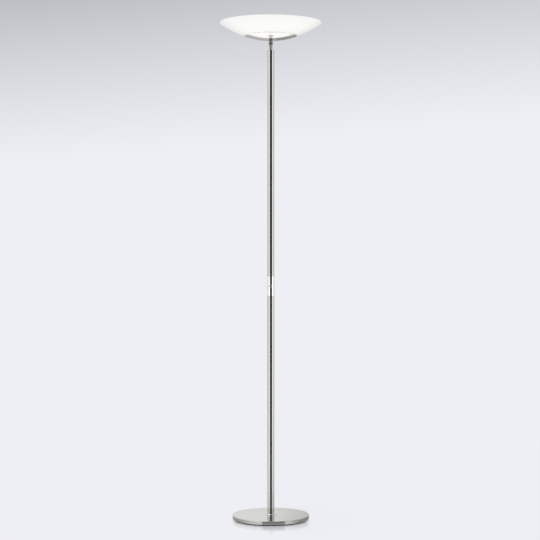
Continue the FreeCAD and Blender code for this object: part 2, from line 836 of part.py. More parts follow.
cover_foot = sink_bottom - lug_height
opal_cover = turned([
    line((cover_inner, cover_foot), (cover_outer, cover_foot)),
    line((cover_outer, cover_foot), (cover_outer, cover_side)),
    dome_arc(cover_outer, cover_side, cover_rise),
    line((0, cover_crest), (0, cover_side + inner_rise)),
    dome_arc(shoulder_radius, cover_side, inner_rise),
    line((shoulder_radius, cover_side), (shoulder_radius, sink_top)),
    line((shoulder_radius, sink_top), (cover_inner, sink_top)),
    line((cover_inner, sink_top), (cover_inner, cover_foot)),
])
lug = sector(
    cover_inner + cover_wall / 2, lug_inner_radius, cover_foot, lug_height, lug_angle, 0
)
opal_cover = opal_cover.fuse(around(lug, lug_count)).removeSplitter()
keep(opal_cover, "diffuser")


def easy_bend(before, corner, after, share):
    """Largest comfortable bend at a corner between two runs."""
    incoming = corner - before
    outgoing = after - corner
    half = incoming.getAngle(outgoing) / 2
    return share * min(incoming.Length, outgoing.Length) / math.tan(half)


# Leads that the lamp holds from end to end
lead_rear = board_thickness + terminal_depth / 2
shift_top = lower_insert_bottom - lead_shift_below_insert
shift_bottom = shift_top - lead_shift_length
mains_route = [
    lead_entry,
    lead_corner,
    Vector(0, lead_offset, shift_bottom),
    Vector(0, lead_rear, shift_top),
    Vector(0, lead_rear, terminal_low),
]
shift_bends = [
    easy_bend(*mains_route[start:start + 3], easy_bend_share) for start in (1, 2)
]
shift_bend = min(shift_bends)
keep(lead(mains_route, [lead_bend_radius, shift_bend, shift_bend], lead_radius), "mains_lead")
driver_lead_bottom = terminal_high + terminal_height
driver_lead = Part.makeCylinder(
    driver_lead_radius,
    driver_bottom - driver_lead_bottom,
    Vector(0, lead_rear, driver_lead_bottom),
)
keep(driver_lead, "driver_lead")
light_lead_crest = thread_top + overrun + light_lead_bend_radius
light_route = [
    Vector(0, 0, driver_top),
    Vector(0, 0, light_lead_crest),
    Vector(0, connector_distance, light_lead_crest),
    Vector(0, connector_distance, connector_top),
]
light_bends = [light_lead_bend_radius, light_lead_bend_radius]
keep(lead(light_route, light_bends, light_lead_radius), "light_lead")
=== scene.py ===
import math

import bpy
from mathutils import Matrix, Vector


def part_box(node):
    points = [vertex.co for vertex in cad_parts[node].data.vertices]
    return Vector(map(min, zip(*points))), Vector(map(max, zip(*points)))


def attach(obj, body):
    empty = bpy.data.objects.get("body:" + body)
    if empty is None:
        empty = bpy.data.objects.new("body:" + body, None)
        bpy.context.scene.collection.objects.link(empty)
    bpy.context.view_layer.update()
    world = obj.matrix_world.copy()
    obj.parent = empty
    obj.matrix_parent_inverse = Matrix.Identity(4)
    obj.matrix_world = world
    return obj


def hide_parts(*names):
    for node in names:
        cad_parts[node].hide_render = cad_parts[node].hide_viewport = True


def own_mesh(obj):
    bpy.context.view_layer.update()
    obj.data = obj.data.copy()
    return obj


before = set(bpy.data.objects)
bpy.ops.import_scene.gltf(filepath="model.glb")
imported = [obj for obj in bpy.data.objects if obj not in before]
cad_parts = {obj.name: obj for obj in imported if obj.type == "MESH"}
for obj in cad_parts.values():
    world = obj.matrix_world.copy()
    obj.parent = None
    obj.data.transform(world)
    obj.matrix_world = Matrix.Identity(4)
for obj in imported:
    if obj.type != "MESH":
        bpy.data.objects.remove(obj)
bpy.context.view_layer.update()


# Studio room.
# A pale seamless wall that darkens towards the top left. Polished metal sees soft boxes
# at both sides, a dark end behind the camera and a dim ceiling with one light box.
def put(tree, kind, inputs=(), **settings):
    """One shader node: inputs maps each socket to a value or to another node's output."""
    node = tree.nodes.new("ShaderNode" + kind)
    for name, value in settings.items():
        setattr(node, name, value)
    for socket, value in dict(inputs).items():
        if isinstance(value, bpy.types.NodeSocket):
            tree.links.new(value, node.inputs[socket])
        else:
            node.inputs[socket].default_value = value
    return node


def calc(tree, operation, *values):
    """Output of one Math node."""
    return put(tree, "Math", dict(enumerate(values)), operation=operation).outputs[0]


def rise(tree, value, start, end, low=0.0, high=1.0):
    """Smooth rise from low to high while a value goes from start to end."""
    sockets = {"Value": value, "From Min": start, "From Max": end, "To Min": low, "To Max": high}
    return put(tree, "MapRange", sockets, interpolation_type="SMOOTHSTEP").outputs["Result"]


def blend(tree, share, first, second):
    """Colour that goes from first to second as share goes from 0 to 1."""
    node = put(tree, "Mix", {0: share, 6: first, 7: second}, data_type="RGBA")
    return node.outputs[2]


def grey(tree, level):
    """Grey colour of a level."""
    return put(tree, "CombineXYZ", {"X": level, "Y": level, "Z": level}).outputs[0]


def grey_ramp(tree, value, stops):
    """Grey level read off a list of (place, level) stops."""
    node = put(tree, "ValToRGB", {"Fac": value})
    points = node.color_ramp.elements
    while len(points) < len(stops):
        points.new(0.5)
    for point, (place, level) in zip(points, stops):
        point.position = place
        point.color = (level, level, level, 1.0)
    return node.outputs["Color"]


def turn_share(tree, parts):
    """Direction round the lamp as a share of a turn, 0.5 facing the front."""
    turn = calc(tree, "ARCTAN2", parts.outputs["X"], calc(tree, "MULTIPLY", parts.outputs["Y"], -1.0))
    return calc(tree, "MULTIPLY_ADD", turn, 0.5 / math.pi, 0.5)


backdrop_colour = (0.855, 0.863, 0.905, 1.0)
backdrop_dark = (0.500, 0.506, 0.540, 1.0)
shade_lean = 0.09
shade_side_limit = 0.2
shade_front_limit = 0.9
shade_start = 0.0679
shade_end = 0.1839
shade_bend = 1.165
boxes_top = 0.13
overhead_foot = 0.19
overhead_top = 0.5
ceiling_foot = 0.7
eye_level_stops = (
    (0.0, 0.72), (0.14, 0.86), (0.20, 1.08), (0.34, 1.08), (0.385, 1.34), (0.420, 1.80), (0.427, 0.01),
    (0.626, 0.01), (0.633, 1.95), (0.69, 1.50), (0.70, 1.05), (0.82, 0.97), (0.87, 0.60), (0.992, 0.60),
    (1.0, 0.72),
)
overhead_stops = (
    (0.0, 1.0), (0.02, 0.98), (0.20, 1.10), (0.42, 1.05), (0.437, 0.12), (0.61, 0.12), (0.625, 1.0),
    (0.72, 0.75), (0.90, 0.70), (0.98, 0.56), (0.9945, 0.44), (0.9975, 0.99), (1.0, 1.0),
)
soft_light = 1.00
soft_light_above = 0.88
soft_light_lean = 0.18
soft_light_low = 0.25
soft_light_high = 0.85
ceiling_shade = 0.55
ceiling_light = 1.75
ceiling_box = (-0.35, -0.25, 0.0)
ceiling_box_inner = 0.30
ceiling_box_outer = 0.55

world = bpy.data.worlds.new("studio")
bpy.context.scene.world = world
world.use_nodes = True
tree = world.node_tree
tree.nodes.clear()
ray = put(tree, "LightPath")
look = put(tree, "SeparateXYZ", {0: put(tree, "TexCoord").outputs["Generated"]})
side = calc(tree, "MINIMUM", look.outputs["X"], shade_side_limit)
leaned = calc(tree, "MULTIPLY_ADD", side, -shade_lean, look.outputs["Z"])
slope = calc(tree, "DIVIDE", leaned, calc(tree, "MAXIMUM", look.outputs["Y"], shade_front_limit))
shade = put(tree, "MapRange", {"Value": slope, "From Min": shade_start, "From Max": shade_end}, clamp=True)
wall = blend(tree, calc(tree, "POWER", shade.outputs["Result"], shade_bend), backdrop_colour, backdrop_dark)
heading = turn_share(tree, look)
boxes = grey_ramp(tree, heading, eye_level_stops)
overhead = grey_ramp(tree, heading, overhead_stops)
flat_look = put(tree, "CombineXYZ", {"X": look.outputs["X"], "Y": look.outputs["Y"]}).outputs[0]
box_gap = put(tree, "VectorMath", {0: flat_look, 1: ceiling_box}, operation="DISTANCE").outputs["Value"]
box_fall = rise(tree, box_gap, ceiling_box_inner, ceiling_box_outer, ceiling_light, ceiling_shade)
ceiling = grey(tree, box_fall)
walls = blend(tree, rise(tree, look.outputs["Z"], boxes_top, overhead_foot), boxes, overhead)
room = blend(tree, rise(tree, look.outputs["Z"], overhead_top, ceiling_foot), walls, ceiling)
above = rise(tree, look.outputs["Z"], soft_light_low, soft_light_high, soft_light, soft_light_above)
lean = calc(tree, "MULTIPLY_ADD", look.outputs["Y"], -soft_light_lean, 1.0)
even = grey(tree, calc(tree, "MULTIPLY", above, lean))
lit = blend(tree, ray.outputs["Is Glossy Ray"], even, room)
seen = blend(tree, ray.outputs["Is Camera Ray"], lit, wall)
background = put(tree, "Background", {"Color": seen, "Strength": 1.0})
tree.links.new(background.outputs[0], put(tree, "OutputWorld").inputs["Surface"])
world.cycles.sampling_method = "NONE"


# Studio floor.
# One sheet of smooth pale paint: a mirror image of the base in front, an even glow further out, and beside
# the foot a glow that leaves out the base's shade. To the lamp's diffuse light it glows, brighter in front.
# Seen in polished metal it glows at steep angles, brighter at a slant and on a second bounce; at shallow
# angles it is a satin mirror of the room, darker at the back, mixed close to the foot with glowing grey
# bands.
floor_size = 60.0
floor_near = 1.0
floor_far = 2.4
floor_glow_share = 0.9
floor_gloss = 1.0
floor_gloss_near = 0.16
floor_gloss_far = 0.32
floor_paint_near = 0.145
floor_paint_far = 0.30
floor_paint_side = 0.12
floor_paint_edge = 0.15
floor_bounce = (0.90, 0.90, 0.905, 1.0)
floor_bounce_front = (1.25, 1.25, 1.25, 1.0)
bounce_front_end = -1.0
bounce_back_end = 0.3
floor_steep_light = 0.95
floor_steep_end = 0.14
floor_slant_light = 1.3
floor_slant_end = 0.26
floor_second_light = 2.4
first_mirror = 1.0
second_mirror = 2.0
shallow_start = 0.575
shallow_end = 0.605
close_light_share = 0.5
close_light_near = 0.17
close_light_far = 0.26
close_stops = (
    (0.0, 0.08), (0.33, 0.08), (0.40, 0.80), (0.435, 0.80), (0.46, 0.75), (0.55, 0.75), (0.575, 0.75),
    (0.61, 0.65), (0.67, 0.08), (1.0, 0.08),
)
near_mirror_end = 0.3
far_mirror_start = 0.9
near_mirror_stops = (
    (0.0, 0.50), (0.09, 0.50), (0.17, 0.95), (0.83, 0.95), (0.90, 0.46), (0.96, 0.40), (1.0, 0.50),
)
far_mirror_stops = (
    (0.0, 0.50), (0.06, 0.60), (0.10, 0.92), (0.17, 0.97), (0.28, 0.97), (0.34, 1.12), (0.42, 1.14),
    (0.626, 1.0), (0.65, 1.12), (0.83, 1.10), (0.90, 0.66), (0.96, 0.70), (1.0, 0.50),
)
bpy.ops.mesh.primitive_grid_add(x_subdivisions=2, y_subdivisions=2, size=floor_size)
floor = bpy.context.object
floor.name = "studio_floor"
floor_paint = bpy.data.materials.new("studio_floor")
floor_paint.use_nodes = True
tree = floor_paint.node_tree
tree.nodes.clear()
ray = put(tree, "LightPath")
place = put(tree, "SeparateXYZ", {0: put(tree, "TexCoord").outputs["Object"]})
flat_place = put(tree, "CombineXYZ", {"X": place.outputs["X"], "Y": place.outputs["Y"]}).outputs[0]
distance = put(tree, "VectorMath", {0: flat_place}, operation="LENGTH").outputs["Value"]

painted = put(tree, "BsdfPrincipled", {
    "Base Color": (0.907, 0.915, 0.961, 1.0),
    "Roughness": 0.10,
    "Specular IOR Level": rise(tree, distance, floor_gloss_near, floor_gloss_far, floor_gloss, 0.0),
})
frontness = calc(tree, "DIVIDE", place.outputs["Y"], distance)
behind = rise(tree, frontness, bounce_front_end, bounce_back_end, 1.0, 0.0)
bounce = blend(tree, behind, floor_bounce, floor_bounce_front)
glow_colour = blend(tree, ray.outputs["Is Camera Ray"], bounce, backdrop_colour)
glow = put(tree, "Emission", {"Color": glow_colour, "Strength": 1.0})
outside = rise(tree, distance, floor_paint_near, floor_paint_far)
# Beside the foot the floor glows by itself, so no shade of the base shows there.
aside = rise(tree, calc(tree, "ABSOLUTE", place.outputs["X"]), floor_paint_side, floor_paint_edge)
away = rise(tree, distance, floor_near, floor_far, floor_glow_share)
glow_share = calc(tree, "MULTIPLY", calc(tree, "MAXIMUM", outside, aside), away)
seen_floor = put(tree, "MixShader", {0: glow_share, 1: painted.outputs[0], 2: glow.outputs[0]})

facing = put(tree, "LayerWeight", {"Blend": 0.5}).outputs["Facing"]
slant = rise(tree, facing, floor_steep_end, floor_slant_end, floor_steep_light, floor_slant_light)
light = rise(tree, ray.outputs["Glossy Depth"], first_mirror, second_mirror, slant, floor_second_light)
lit_floor = put(tree, "Emission", {"Color": (1.0, 1.0, 1.0, 1.0), "Strength": light})
around_lamp = turn_share(tree, place)
mirror_colour = blend(
    tree, rise(tree, distance, near_mirror_end, far_mirror_start),
    grey_ramp(tree, around_lamp, near_mirror_stops), grey_ramp(tree, around_lamp, far_mirror_stops))
sheen = put(tree, "BsdfGlossy", {"Color": mirror_colour, "Roughness": 0.12})
# Glowing grey bands round the lamp, seen in metal close to the foot.
close_floor = put(tree, "Emission", {"Color": grey_ramp(tree, around_lamp, close_stops), "Strength": 1.0})
close_share = rise(tree, distance, close_light_near, close_light_far, close_light_share, 0.0)
low_floor = put(tree, "MixShader", {0: close_share, 1: sheen.outputs[0], 2: close_floor.outputs[0]})
shallow = rise(tree, facing, shallow_start, shallow_end)
mirrored_floor = put(tree, "MixShader", {0: shallow, 1: lit_floor.outputs[0], 2: low_floor.outputs[0]})

whole = put(tree, "MixShader", {
    0: ray.outputs["Is Glossy Ray"],
    1: seen_floor.outputs[0],
    2: mirrored_floor.outputs[0],
})
tree.links.new(whole.outputs[0], put(tree, "OutputMaterial").inputs["Surface"])
floor_paint.cycles.emission_sampling = "NONE"
floor.data.materials.append(floor_paint)
bpy.context.scene.view_settings.view_transform = "Standard"


# Camera.
# A long lens held a little above the middle of the lamp and tipped down by one
# degree, so that the whole lamp fits in the square picture.
camera_distance = 5.385
camera_height = 1.012
camera_side = -0.0027
camera_dip = math.radians(1.034)
picture_pixels = 540.0
focal_pixels = 1470.4
camera_data = bpy.data.cameras.new("camera")
camera = bpy.data.objects.new("camera", camera_data)
bpy.context.scene.collection.objects.link(camera)
camera.location = (camera_side, -camera_distance, camera_height)
camera.rotation_euler = (math.pi / 2 - camera_dip, 0.0, 0.0)
camera_data.lens = camera_data.sensor_width * focal_pixels / picture_pixels
bpy.context.scene.camera = camera


# Foot ring.
# A ring of black rubber in a groove of the bottom plate; the lamp stands on it.
# The rubber is dull, finely pitted and a little dusty on its outside.
def material(name, inputs):
    """New material with a Principled shader, and its node tree."""
    made = bpy.data.materials.new(name)
    made.use_nodes = True
    tree = made.node_tree
    tree.nodes.clear()
    shader = put(tree, "BsdfPrincipled", inputs)
    tree.links.new(shader.outputs[0], put(tree, "OutputMaterial").inputs["Surface"])
    return made, tree, shader


def object_place(tree):
    """Place on the piece, in metres of the shared frame."""
    return put(tree, "TexCoord").outputs["Object"]


def bump(tree, shader, height, depth):
    """Surface relief of a depth in metres."""
    node = put(tree, "Bump", {"Height": height, "Strength": 1.0, "Distance": depth})
    tree.links.new(node.outputs["Normal"], shader.inputs["Normal"])


def vary(tree, shader, socket, mask, low, high):
    """A number on the shader that follows a mask from low to high."""
    tree.links.new(rise(tree, mask, 0.0, 1.0, low, high), shader.inputs[socket])


def tint(tree, shader, mask, dark, light):
    """Base colour that follows a mask from dark to light."""
    tree.links.new(blend(tree, mask, (*dark, 1.0), (*light, 1.0)), shader.inputs["Base Color"])


def group(name, inputs, outputs):
    """New shader node group with named sockets, a None for a vector; returns it with its two ends."""
    made = bpy.data.node_groups.new(name, "ShaderNodeTree")
    for socket, value in inputs.items():
        if value is None:
            made.interface.new_socket(socket, in_out="INPUT", socket_type="NodeSocketVector")
        else:
            number = made.interface.new_socket(socket, in_out="INPUT", socket_type="NodeSocketFloat")
            number.default_value = value
    for socket in outputs:
        made.interface.new_socket(socket, in_out="OUTPUT", socket_type="NodeSocketFloat")
    return made, made.nodes.new("NodeGroupInput"), made.nodes.new("NodeGroupOutput")


def place_group(tree, made, **values):
    """Places a node group in a material with its own values."""
    return put(tree, "Group", values, node_tree=made)


noise_low = 0.3
noise_high = 0.7


def fine_grain():
    """Speckle of a moulded, cast or rubbed surface: fine height and a softer mask."""
    made, start, end = group("fine grain", {"Grains": 900.0, "Patches": 25.0}, ("Height", "Patch"))
    where = object_place(made)
    fine = put(made, "TexNoise", {"Vector": where, "Scale": start.outputs["Grains"], "Detail": 4.0})
    soft = put(made, "TexNoise", {"Vector": where, "Scale": start.outputs["Patches"], "Detail": 3.0})
    made.links.new(fine.outputs["Fac"], end.inputs["Height"])
    made.links.new(rise(made, soft.outputs["Fac"], noise_low, noise_high), end.inputs["Patch"])
    return made


def dress(made, *nodes):
    """Gives the frame's pieces a material."""
    for name in nodes:
        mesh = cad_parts[name].data
        mesh.materials.clear()
        mesh.materials.append(made)


grain = fine_grain()
rubber, tree, shader = material("black_rubber", {"Specular IOR Level": 0.3})
pits = place_group(tree, grain, Grains=1400.0, Patches=60.0)
tint(tree, shader, pits.outputs["Patch"], dark=(0.012, 0.012, 0.012), light=(0.032, 0.030, 0.028))
vary(tree, shader, "Roughness", pits.outputs["Patch"], low=0.62, high=0.82)
bump(tree, shader, pits.outputs["Height"], depth=0.00012)
dress(rubber, "foot_ring")


# Bottom plate, bush, dimmer carrier and button guide.
# Moulded in black plastic with a fine spark-eroded grain. The plate closes the base,
# the bush sits in the cover's rear, and the carrier and the guide hold the dimmer.
plastic, tree, shader = material("black_plastic", {"Specular IOR Level": 0.45})
grains = place_group(tree, grain, Grains=2600.0, Patches=40.0)
tint(tree, shader, grains.outputs["Patch"], dark=(0.010, 0.010, 0.011), light=(0.020, 0.020, 0.021))
vary(tree, shader, "Roughness", grains.outputs["Patch"], low=0.38, high=0.52)
bump(tree, shader, grains.outputs["Height"], depth=0.00004)
dress(plastic, "bottom_plate", "inlet_bush", "dimmer_carrier", "button_guide")


# Screws, bolt, washer, plug, inserts, clamp plate and threaded tube.
# Turned, pressed or rolled from steel and plated with bright zinc, which leaves them
# faintly mottled over fine turning marks. They hold the base, the pole and the head.
def turned_lines():
    """Fine lines round the Z axis of Place, as a lathe or a brushing wheel leaves them."""
    inputs = {"Place": None, "Lines": 4000.0, "Drift": 3.0}
    made, start, end = group("turned lines", inputs, ("Height", "Streak", "Haze"))
    place = start.outputs["Place"]
    parts = put(made, "SeparateXYZ", {0: place})
    flat = put(made, "CombineXYZ", {"X": parts.outputs["X"], "Y": parts.outputs["Y"]}).outputs[0]
    radius = put(made, "VectorMath", {0: flat}, operation="LENGTH").outputs["Value"]
    heading = put(made, "VectorMath", {0: flat}, operation="NORMALIZE").outputs["Vector"]
    facing = put(made, "SeparateXYZ", {0: heading})
    lines = start.outputs["Lines"]
    drift = start.outputs["Drift"]
    point = put(made, "CombineXYZ", {
        "X": calc(made, "MULTIPLY", radius, lines),
        "Y": calc(made, "MULTIPLY", facing.outputs["X"], drift),
        "Z": calc(made, "MULTIPLY", facing.outputs["Y"], drift),
    }).outputs[0]
    level = calc(made, "MULTIPLY", parts.outputs["Z"], lines)
    fine = put(made, "TexNoise", {"Vector": point, "W": level, "Scale": 1.0, "Detail": 3.0},
               noise_dimensions="4D")
    broad = put(made, "TexNoise", {"Vector": point, "W": level, "Scale": 0.16, "Detail": 2.0},
                noise_dimensions="4D")
    soft = put(made, "TexNoise", {"Vector": place, "Scale": 22.0, "Detail": 2.0})
    made.links.new(fine.outputs["Fac"], end.inputs["Height"])
    made.links.new(rise(made, broad.outputs["Fac"], noise_low, noise_high), end.inputs["Streak"])
    made.links.new(rise(made, soft.outputs["Fac"], noise_low, noise_high), end.inputs["Haze"])
    return made


turned = turned_lines()
zinc, tree, shader = material("zinc_steel", {"Metallic": 1.0})
marks = place_group(tree, turned, Place=object_place(tree), Lines=2500.0, Drift=2.0)
tint(tree, shader, marks.outputs["Haze"], dark=(0.50, 0.51, 0.53), light=(0.64, 0.65, 0.66))
vary(tree, shader, "Roughness", marks.outputs["Height"], low=0.26, high=0.42)
bump(tree, shader, marks.outputs["Height"], depth=0.00002)
dress(zinc, "bottom_screws", "base_bolt", "base_washer", "foot_plug", "lower_insert", "upper_insert",
      "clamp_plate", "board_screws", "threaded_tube")


# Base weight.
# Grey iron cast in sand and left rough, with a thin dark wash of paint. It lies under
# the cover and is clamped there by the bolt of the pole.
iron, tree, shader = material("cast_iron", {"Metallic": 0.0, "Specular IOR Level": 0.4})
sand = place_group(tree, grain, Grains=700.0, Patches=30.0)
tint(tree, shader, sand.outputs["Patch"], dark=(0.045, 0.045, 0.047), light=(0.085, 0.083, 0.080))
vary(tree, shader, "Roughness", sand.outputs["Height"], low=0.55, high=0.85)
bump(tree, shader, sand.outputs["Height"], depth=0.0004)
dress(iron, "base_weight")


# Base cover, pole tubes and cap.
# Steel plated with nickel and brushed round the axis to a satin finish. Hands and cloths
# have rubbed the edges brighter, and the cap's flat top is faced matt.
darker_share = 0.94
streak_share = 0.6
finer = 0.03
coarser = 0.04


def satin_metal(name, colour, roughness, lines):
    """Nickel brushed round the pole's axis; streaks and haze work on its colour and roughness."""
    made, tree, shader = material(name, {
        "Metallic": 1.0,
        "Anisotropic": 0.55,
        "Anisotropic Rotation": 0.25,
    })
    around = put(tree, "Tangent", direction_type="RADIAL", axis="Z")
    tree.links.new(around.outputs[0], shader.inputs["Tangent"])
    marks = place_group(tree, turned, Place=object_place(tree), Lines=lines, Drift=3.0)
    haze = calc(tree, "MULTIPLY", marks.outputs["Haze"], 1.0 - streak_share)
    brushed = calc(tree, "MULTIPLY_ADD", marks.outputs["Streak"], streak_share, haze)
    tint(tree, shader, brushed, tuple(darker_share * part for part in colour), colour)
    vary(tree, shader, "Roughness", marks.outputs["Streak"], roughness - finer, roughness + coarser)
    bump(tree, shader, marks.outputs["Height"], depth=0.000004)
    return made, tree, shader


broken_low = 0.5
broken_high = 1.3
broken_noise_low = 0.25
broken_noise_high = 0.75


def wear_and_highlight_mask():
    """Mask of a round edge about the Z axis of Place, broken up as hands and cloths wear it; it also lays
    the dish lip's painted highlight.
    """
    inputs = {"Place": None, "Radius": 0.1, "Height": 0.0, "Reach": 0.002}
    made, start, end = group("rubbed edge", inputs, ("Mask",))
    parts = put(made, "SeparateXYZ", {0: start.outputs["Place"]})
    flat = put(made, "CombineXYZ", {"X": parts.outputs["X"], "Y": parts.outputs["Y"]}).outputs[0]
    radius = put(made, "VectorMath", {0: flat}, operation="LENGTH").outputs["Value"]
    off = put(made, "CombineXYZ", {
        "X": calc(made, "SUBTRACT", radius, start.outputs["Radius"]),
        "Y": calc(made, "SUBTRACT", parts.outputs["Z"], start.outputs["Height"]),
    })
    gap = put(made, "VectorMath", {0: off.outputs[0]}, operation="LENGTH").outputs["Value"]
    rough = put(made, "TexNoise", {"Vector": start.outputs["Place"], "Scale": 260.0, "Detail": 3.0})
    uneven = rise(made, rough.outputs["Fac"], broken_noise_low, broken_noise_high, broken_low, broken_high)
    near = rise(made, calc(made, "DIVIDE", gap, start.outputs["Reach"]), 0.0, 1.0, 1.0, 0.0)
    mask = put(made, "Clamp", {"Value": calc(made, "MULTIPLY", near, uneven)})
    made.links.new(mask.outputs[0], end.inputs["Mask"])
    return made


def overlay(tree, shader, mask, colour, roughness):
    """Lays another colour and roughness over those of a shader where the mask is 1."""
    before = shader.inputs["Base Color"].links[0].from_socket
    tree.links.new(blend(tree, mask, before, (*colour, 1.0)), shader.inputs["Base Color"])
    before = shader.inputs["Roughness"].links[0].from_socket
    tree.links.new(rise(tree, mask, 0.0, 1.0, before, roughness), shader.inputs["Roughness"])


def wear_and_highlight_edge(tree, shader, piece, reach, colour, roughness):
    """Works a paler upper edge of a piece into its shader: worn by hands, and on the dish's lip a painted
    highlight.
    """
    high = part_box(piece)[1]
    edge = place_group(tree, wear_and_highlight, Place=object_place(tree), Radius=high[0], Height=high[2], Reach=reach)
    overlay(tree, shader, edge.outputs["Mask"], colour, roughness)


wear_and_highlight = wear_and_highlight_mask()
satin, tree, shader = satin_metal(
    "satin_nickel", colour=(0.562, 0.553, 0.527), roughness=0.09, lines=5200.0)
wear_and_highlight_edge(tree, shader, "base_cover", reach=0.0022, colour=(0.66, 0.655, 0.64), roughness=0.12)
dress(satin, "base_cover", "lower_tube", "upper_tube")

face_depth = 0.0006
face_skin = 0.0001
turned_cap, tree, shader = satin_metal(
    "cap_nickel", colour=(0.50, 0.492, 0.47), roughness=0.17, lines=4200.0)
wear_and_highlight_edge(tree, shader, "tube_cap", reach=0.0012, colour=(0.64, 0.635, 0.62), roughness=0.12)
cap_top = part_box("tube_cap")[1][2]
up = put(tree, "SeparateXYZ", {0: object_place(tree)}).outputs["Z"]
faced = rise(tree, up, cap_top - face_depth, cap_top - face_skin)
overlay(tree, shader, faced, colour=(0.86, 0.86, 0.85), roughness=0.6)
dress(turned_cap, "tube_cap")


# Button.
# A turned aluminium cap with a finely faced end, plated to a soft matt grey; fingers
# have polished its edge. It slides in the guide and presses the switch behind it.
low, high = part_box("dimmer_button")
button_height = (low[2] + high[2]) / 2
frosted, tree, shader = material("button_nickel", {"Metallic": 1.0})
parts = put(tree, "SeparateXYZ", {0: object_place(tree)})
off_axis = calc(tree, "SUBTRACT", parts.outputs["Z"], button_height)
about_button = {"X": parts.outputs["X"], "Y": off_axis, "Z": parts.outputs["Y"]}
along = put(tree, "CombineXYZ", about_button).outputs[0]
marks = place_group(tree, turned, Place=along, Lines=7000.0, Drift=4.0)
tint(tree, shader, marks.outputs["Streak"], dark=(0.40, 0.396, 0.388), light=(0.47, 0.465, 0.455))
vary(tree, shader, "Roughness", marks.outputs["Streak"], low=0.34, high=0.46)
bump(tree, shader, marks.outputs["Height"], depth=0.000012)
edge = place_group(tree, wear_and_highlight, Place=along, Radius=high[0], Height=low[1], Reach=0.0012)
before = shader.inputs["Base Color"].links[0].from_socket
rubbed_colour = (0.66, 0.655, 0.65, 1.0)
tree.links.new(blend(tree, edge.outputs["Mask"], before, rubbed_colour), shader.inputs["Base Color"])
dress(frosted, "dimmer_button")


# Return spring.
# Zinc-plated spring wire wound in two open turns round the button's stem. It stands on the carrier's wall
# and carries the button's flange.
spring_wire = 0.0002
spring_merge = spring_wire / 100
spring_turns = 2
spring_steps = 48
spring_sides = 12
smooth_angle = math.radians(40.0)
low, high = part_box("button_spring")
spring_length = high[1] - low[1]
spring_rise = spring_length - 2 * spring_wire
coil_radius = high[0] - spring_wire
coil_centre = (0.0, high[1] - spring_wire, (low[2] + high[2]) / 2)
bpy.ops.object.select_all(action="DESELECT")
bpy.ops.mesh.primitive_circle_add(
    vertices=spring_sides, radius=spring_wire,
    location=(coil_radius, 0.0, 0.0), rotation=(math.pi / 2, 0.0, 0.0))
spring = bpy.context.object
spring.name = "return_spring"
bpy.ops.object.transform_apply(location=True, rotation=True, scale=True)
winding = spring.modifiers.new("winding", "SCREW")
winding.axis = "Z"
winding.angle = 2 * math.pi
winding.iterations = spring_turns
winding.screw_offset = spring_rise / spring_turns
winding.steps = spring_steps
winding.render_steps = spring_steps
winding.use_merge_vertices = True
winding.merge_threshold = spring_merge
bpy.ops.object.modifier_apply(modifier="winding")
bpy.ops.object.mode_set(mode="EDIT")
bpy.ops.mesh.select_all(action="SELECT")
bpy.ops.mesh.remove_doubles(threshold=spring_merge)
bpy.ops.mesh.select_all(action="DESELECT")
bpy.ops.mesh.select_mode(type="EDGE")
bpy.ops.mesh.select_non_manifold(
    extend=False, use_wire=False, use_boundary=True,
    use_multi_face=False, use_non_contiguous=False, use_verts=False)
bpy.ops.mesh.fill_holes(sides=spring_sides)
bpy.ops.mesh.select_all(action="SELECT")
bpy.ops.mesh.normals_make_consistent(inside=False)
bpy.ops.object.mode_set(mode="OBJECT")
spring.rotation_euler = (math.pi / 2, 0.0, 0.0)
spring.location = coil_centre
bpy.ops.object.transform_apply(location=True, rotation=True, scale=True)
bpy.ops.object.shade_smooth_by_angle(angle=smooth_angle)
spring.data.materials.append(zinc)
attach(spring, "lamp")
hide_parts("button_spring")
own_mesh(spring)


# Foot collar and dimmer sleeve.
# Brass turned on a lathe, polished to a mirror and plated with nickel. The collar lies
# round the foot of the pole, and the sleeve is screwed between the two tubes.
polished, tree, shader = material("polished_nickel", {"Metallic": 1.0})
marks = place_group(tree, turned, Place=object_place(tree), Lines=9000.0, Drift=6.0)
tint(tree, shader, marks.outputs["Haze"], dark=(0.75, 0.74, 0.72), light=(0.80, 0.79, 0.77))
vary(tree, shader, "Roughness", marks.outputs["Streak"], low=0.04, high=0.085)
bump(tree, shader, marks.outputs["Height"], depth=0.0000006)
dress(polished, "foot_collar", "dimmer_sleeve")


# Neck tube and neck collar.
# Turned brass in two darker shades of polished nickel. They are spacers, threaded
# on the hollow tube between the cap and the dish.
shaded, tree, shader = material("neck_nickel", {"Metallic": 1.0})
marks = place_group(tree, turned, Place=object_place(tree), Lines=9000.0, Drift=6.0)
tint(tree, shader, marks.outputs["Haze"], dark=(0.35, 0.348, 0.342), light=(0.41, 0.407, 0.40))
vary(tree, shader, "Roughness", marks.outputs["Streak"], low=0.05, high=0.09)
dress(shaded, "neck_tube")
smoked, tree, shader = material("dark_nickel", {"Metallic": 1.0})
marks = place_group(tree, turned, Place=object_place(tree), Lines=7000.0, Drift=6.0)
tint(tree, shader, marks.outputs["Haze"], dark=(0.15, 0.15, 0.152), light=(0.19, 0.19, 0.192))
vary(tree, shader, "Roughness", marks.outputs["Haze"], low=0.05, high=0.09)
dress(smoked, "neck_collar")


# Glass dish.
# Spun from sheet, polished and plated with nickel, with a turned-up lip painted near white and matt, a
# painted highlight that hides the lip's line of shade against the glass. The glass stands in it.
dish, tree, shader = material("dish_nickel", {"Metallic": 1.0})
marks = place_group(tree, turned, Place=object_place(tree), Lines=9000.0, Drift=6.0)
tint(tree, shader, marks.outputs["Haze"], dark=(0.72, 0.71, 0.69), light=(0.75, 0.74, 0.72))
vary(tree, shader, "Roughness", marks.outputs["Haze"], low=0.13, high=0.17)
# Painted highlight: the lip is coloured near white and matt to hide its line of shade against the glass.
wear_and_highlight_edge(tree, shader, "glass_dish", reach=0.0030, colour=(0.95, 0.95, 0.94), roughness=0.8)
dress(dish, "glass_dish")


